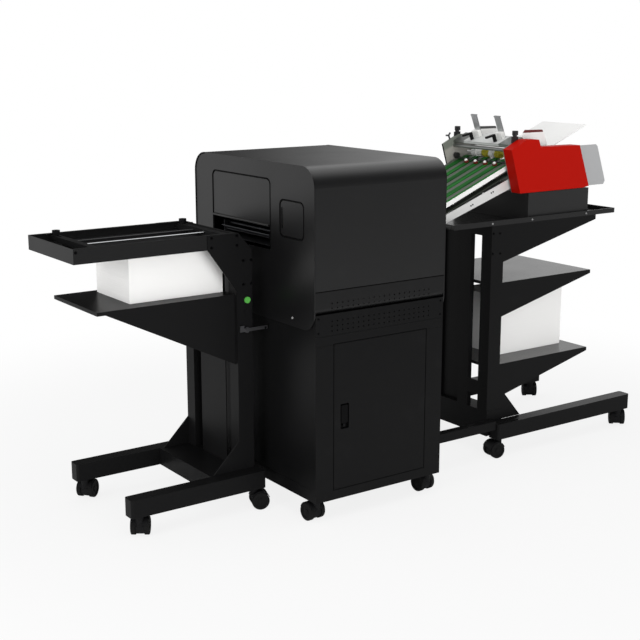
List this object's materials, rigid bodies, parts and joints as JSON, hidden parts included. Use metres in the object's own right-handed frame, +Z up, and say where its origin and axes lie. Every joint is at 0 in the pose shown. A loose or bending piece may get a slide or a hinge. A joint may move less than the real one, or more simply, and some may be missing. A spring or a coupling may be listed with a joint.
{
  "type": "braille embosser",
  "caption": "Production braille embosser on a castered cabinet, docked between an inclined belt sheet feeder on a shelf stand and an output stacker with a lifting shelf.",
  "frame": {"origin": "on the floor under the middle of the whole line", "axes": "+X along the paper line from the stacker to the feeder, +Y from the cabinet door towards the back, +Z up"},
  "size_m": [2.9322, 0.916, 1.5739],
  "materials": {
    "black_steel": "satin black powder coat",
    "black_plastic": "fine-grained moulded black",
    "bright_steel": "brushed, zinc bright",
    "machined_steel": "machined",
    "chrome_rod": "polished",
    "paper": "matt white cut sheets",
    "green_plastic": "gloss",
    "plate_aluminium": "fine satin",
    "red_cover": "satin red",
    "white_sheet": "satin white sheet",
    "belt_rubber": "matt green",
    "white_plastic": "satin",
    "wheel_tread": "matt black"
  },
  "bodies": {
    "machine": {"cabinet_body": "black_steel", "cabinet_panels": "black_steel", "head_shell": "black_steel", "head_cheeks": "black_steel", "emboss_frame": "machined_steel", "stacker_frame": "black_steel", "stacker_tray": "black_steel", "guide_rods": "chrome_rod", "feeder_stand": "black_steel", "feeder_shelves": "black_steel", "feeder_paper": "paper", "feeder_pedestal": "black_steel", "feeder_side_plates": "plate_aluminium", "feeder_covers": "red_cover", "hopper_plates": "white_sheet", "conveyor_frame": "plate_aluminium", "conveyor_belts": "belt_rubber", "hold_downs": "black_plastic"},
    "hood": {"hood": "black_steel"},
    "output_flap": {"output_flap": "black_steel"},
    "access_door": {"access_door": "black_steel"},
    "cabinet_door": {"cabinet_door": "black_steel"},
    "door_handle": {"door_handle": "black_plastic"},
    "door_lock": {"door_lock": "bright_steel"},
    "lower_roller": {"lower_emboss_roller": "machined_steel"},
    "upper_roller": {"upper_emboss_roller": "machined_steel"},
    "side_guide": {"side_guide": "black_plastic"},
    "stack_shelf": {"stack_shelf": "black_steel", "stacker_paper": "paper"},
    "start_button": {"start_button": "green_plastic"},
    "dock_latch": {"dock_latch": "bright_steel"},
    "drive_roller": {"drive_roller": "bright_steel"},
    "feed_wheels": {"feed_wheels": "white_plastic"},
    "gate_bars": {"gate_bars": "bright_steel"},
    "clamp_lever_1": {"clamp_lever_1": "black_plastic"},
    "clamp_lever_2": {"clamp_lever_2": "black_plastic"},
    "caster_1": {"caster_1": "black_plastic"},
    "wheels_1": {"wheels_1": "wheel_tread"},
    "caster_2": {"caster_2": "black_plastic"},
    "wheels_2": {"wheels_2": "wheel_tread"},
    "caster_3": {"caster_3": "black_plastic"},
    "wheels_3": {"wheels_3": "wheel_tread"},
    "caster_4": {"caster_4": "black_plastic"},
    "wheels_4": {"wheels_4": "wheel_tread"},
    "caster_5": {"caster_5": "black_plastic"},
    "wheels_5": {"wheels_5": "wheel_tread"},
    "caster_6": {"caster_6": "black_plastic"},
    "wheels_6": {"wheels_6": "wheel_tread"},
    "caster_7": {"caster_7": "black_plastic"},
    "wheels_7": {"wheels_7": "wheel_tread"},
    "caster_8": {"caster_8": "black_plastic"},
    "wheels_8": {"wheels_8": "wheel_tread"},
    "caster_9": {"caster_9": "black_plastic"},
    "wheels_9": {"wheels_9": "wheel_tread"},
    "caster_10": {"caster_10": "black_plastic"},
    "wheels_10": {"wheels_10": "wheel_tread"},
    "caster_11": {"caster_11": "black_plastic"},
    "wheels_11": {"wheels_11": "wheel_tread"},
    "caster_12": {"caster_12": "black_plastic"},
    "wheels_12": {"wheels_12": "wheel_tread"}
  },
  "joints": [
    {"name": "hood_hinge", "type": "hinge", "parent": "machine", "child": "hood", "pos_m": [-0.2855, 0.452, 1.34], "axis": [-1, 0, 0], "range_deg": [0, 75]},
    {"name": "flap_hinge", "type": "hinge", "parent": "machine", "child": "output_flap", "pos_m": [-0.615, 0.08, 1.3445], "axis": [0, 1, 0], "range_deg": [0, 85]},
    {"name": "access_hinge", "type": "hinge", "parent": "machine", "child": "access_door", "pos_m": [-0.615, -0.355, 1.228], "axis": [0, 0, 1], "range_deg": [0, 100]},
    {"name": "cabinet_door_hinge", "type": "hinge", "parent": "machine", "child": "cabinet_door", "pos_m": [-0.0625, -0.453, 0.437], "axis": [0, 0, 1], "range_deg": [0, 110]},
    {"name": "door_handle_pivot", "type": "hinge", "parent": "cabinet_door", "child": "door_handle", "pos_m": [-0.4685, -0.452, 0.476], "axis": [-1, 0, 0], "range_deg": [0, 35], "stiffness_Nm_per_rad": 0.5},
    {"name": "door_lock_turn", "type": "hinge", "parent": "cabinet_door", "child": "door_lock", "pos_m": [-0.4685, -0.448, 0.397], "axis": [0, -1, 0], "range_deg": [0, 90]},
    {"name": "lower_roller_spin", "type": "hinge", "parent": "machine", "child": "lower_roller", "pos_m": [-0.2855, 0.08, 1.0547], "axis": [0, 1, 0], "continuous": true},
    {"name": "upper_roller_spin", "type": "hinge", "parent": "machine", "child": "upper_roller", "pos_m": [-0.2855, 0.08, 1.1453], "axis": [0, 1, 0], "continuous": true},
    {"name": "side_guide_slide", "type": "slide", "parent": "machine", "child": "side_guide", "axis": [0, -1, 0], "range_m": [0, 0.045]},
    {"name": "shelf_lift", "type": "slide", "parent": "machine", "child": "stack_shelf", "axis": [0, 0, 1], "range_m": [-0.4, 0]},
    {"name": "button_press", "type": "slide", "parent": "machine", "child": "start_button", "axis": [0, 1, 0], "range_m": [0, 0.003], "stiffness_N_per_m": 800},
    {"name": "latch_turn", "type": "hinge", "parent": "machine", "child": "dock_latch", "pos_m": [-0.7155, -0.118, 0.762], "axis": [0, -1, 0], "range_deg": [0, 70]},
    {"name": "drive_roller_spin", "type": "hinge", "parent": "machine", "child": "drive_roller", "pos_m": [0.77819, 0.063, 1.35118], "axis": [0, 1, 0], "continuous": true},
    {"name": "feed_wheels_spin", "type": "hinge", "parent": "machine", "child": "feed_wheels", "pos_m": [0.8022, 0.063, 1.38785], "axis": [0, 1, 0], "continuous": true},
    {"name": "gate_height", "type": "slide", "parent": "machine", "child": "gate_bars", "axis": [-0.3746, 0, 0.9272], "range_m": [-0.004, 0.02]},
    {"name": "clamp_lever_1_turn", "type": "hinge", "parent": "machine", "child": "clamp_lever_1", "pos_m": [0.72453, -0.017, 1.45461], "axis": [-0.3746, 0, 0.9272], "range_deg": [-50, 50]},
    {"name": "clamp_lever_2_turn", "type": "hinge", "parent": "machine", "child": "clamp_lever_2", "pos_m": [0.72453, 0.143, 1.45461], "axis": [-0.3746, 0, 0.9272], "range_deg": [-50, 50]},
    {"name": "caster_1_swivel", "type": "hinge", "parent": "machine", "child": "caster_1", "pos_m": [-0.5775, -0.412, 0.07], "axis": [0, 0, 1], "continuous": true},
    {"name": "wheels_1_spin", "type": "hinge", "parent": "caster_1", "child": "wheels_1", "pos_m": [-0.57942, -0.39008, 0.0375], "axis": [-0.9962, -0.0872, 0], "continuous": true},
    {"name": "caster_2_swivel", "type": "hinge", "parent": "machine", "child": "caster_2", "pos_m": [0.0065, -0.412, 0.07], "axis": [0, 0, 1], "continuous": true},
    {"name": "wheels_2_spin", "type": "hinge", "parent": "caster_2", "child": "wheels_2", "pos_m": [0.00458, -0.39008, 0.0375], "axis": [-0.9962, -0.0872, 0], "continuous": true},
    {"name": "caster_3_swivel", "type": "hinge", "parent": "machine", "child": "caster_3", "pos_m": [-0.5775, 0.412, 0.07], "axis": [0, 0, 1], "continuous": true},
    {"name": "wheels_3_spin", "type": "hinge", "parent": "caster_3", "child": "wheels_3", "pos_m": [-0.5665, 0.39295, 0.0375], "axis": [0.866, 0.5, 0], "continuous": true},
    {"name": "caster_4_swivel", "type": "hinge", "parent": "machine", "child": "caster_4", "pos_m": [0.0065, 0.412, 0.07], "axis": [0, 0, 1], "continuous": true},
    {"name": "wheels_4_spin", "type": "hinge", "parent": "caster_4", "child": "wheels_4", "pos_m": [-0.0028, 0.39206, 0.0375], "axis": [0.9063, -0.4226, 0], "continuous": true},
    {"name": "caster_5_swivel", "type": "hinge", "parent": "machine", "child": "caster_5", "pos_m": [-1.2435, -0.1475, 0.07], "axis": [0, 0, 1], "continuous": true},
    {"name": "wheels_5_spin", "type": "hinge", "parent": "caster_5", "child": "wheels_5", "pos_m": [-1.23088, -0.12948, 0.0375], "axis": [-0.8192, 0.5736, 0], "continuous": true},
    {"name": "caster_6_swivel", "type": "hinge", "parent": "machine", "child": "caster_6", "pos_m": [-0.7105, -0.1475, 0.07], "axis": [0, 0, 1], "continuous": true},
    {"name": "wheels_6_spin", "type": "hinge", "parent": "caster_6", "child": "wheels_6", "pos_m": [-0.68983, -0.15502, 0.0375], "axis": [0.342, 0.9397, 0], "continuous": true},
    {"name": "caster_7_swivel", "type": "hinge", "parent": "machine", "child": "caster_7", "pos_m": [-1.2435, 0.3635, 0.07], "axis": [0, 0, 1], "continuous": true},
    {"name": "wheels_7_spin", "type": "hinge", "parent": "caster_7", "child": "wheels_7", "pos_m": [-1.22665, 0.37764, 0.0375], "axis": [-0.6428, 0.766, 0], "continuous": true},
    {"name": "caster_8_swivel", "type": "hinge", "parent": "machine", "child": "caster_8", "pos_m": [-0.7105, 0.3635, 0.07], "axis": [0, 0, 1], "continuous": true},
    {"name": "wheels_8_spin", "type": "hinge", "parent": "caster_8", "child": "wheels_8", "pos_m": [-0.69145, 0.3745, 0.0375], "axis": [-0.5, 0.866, 0], "continuous": true},
    {"name": "caster_9_swivel", "type": "hinge", "parent": "machine", "child": "caster_9", "pos_m": [0.5825, -0.2505, 0.07], "axis": [0, 0, 1], "continuous": true},
    {"name": "wheels_9_spin", "type": "hinge", "parent": "caster_9", "child": "wheels_9", "pos_m": [0.56083, -0.24668, 0.0375], "axis": [-0.1736, -0.9848, 0], "continuous": true},
    {"name": "caster_10_swivel", "type": "hinge", "parent": "machine", "child": "caster_10", "pos_m": [1.4115, -0.2505, 0.07], "axis": [0, 0, 1], "continuous": true},
    {"name": "wheels_10_spin", "type": "hinge", "parent": "caster_10", "child": "wheels_10", "pos_m": [1.42564, -0.23365, 0.0375], "axis": [-0.766, 0.6428, 0], "continuous": true},
    {"name": "caster_11_swivel", "type": "hinge", "parent": "machine", "child": "caster_11", "pos_m": [0.5825, 0.3765, 0.07], "axis": [0, 0, 1], "continuous": true},
    {"name": "wheels_11_spin", "type": "hinge", "parent": "caster_11", "child": "wheels_11", "pos_m": [0.59002, 0.39717, 0.0375], "axis": [-0.9397, 0.342, 0], "continuous": true},
    {"name": "caster_12_swivel", "type": "hinge", "parent": "machine", "child": "caster_12", "pos_m": [1.4115, 0.3765, 0.07], "axis": [0, 0, 1], "continuous": true},
    {"name": "wheels_12_spin", "type": "hinge", "parent": "caster_12", "child": "wheels_12", "pos_m": [1.42412, 0.39452, 0.0375], "axis": [-0.8192, 0.5736, 0], "continuous": true}
  ],
  "couplings": [
    {"joint": "upper_roller_spin", "follows": "lower_roller_spin", "ratio": -1}
  ]
}
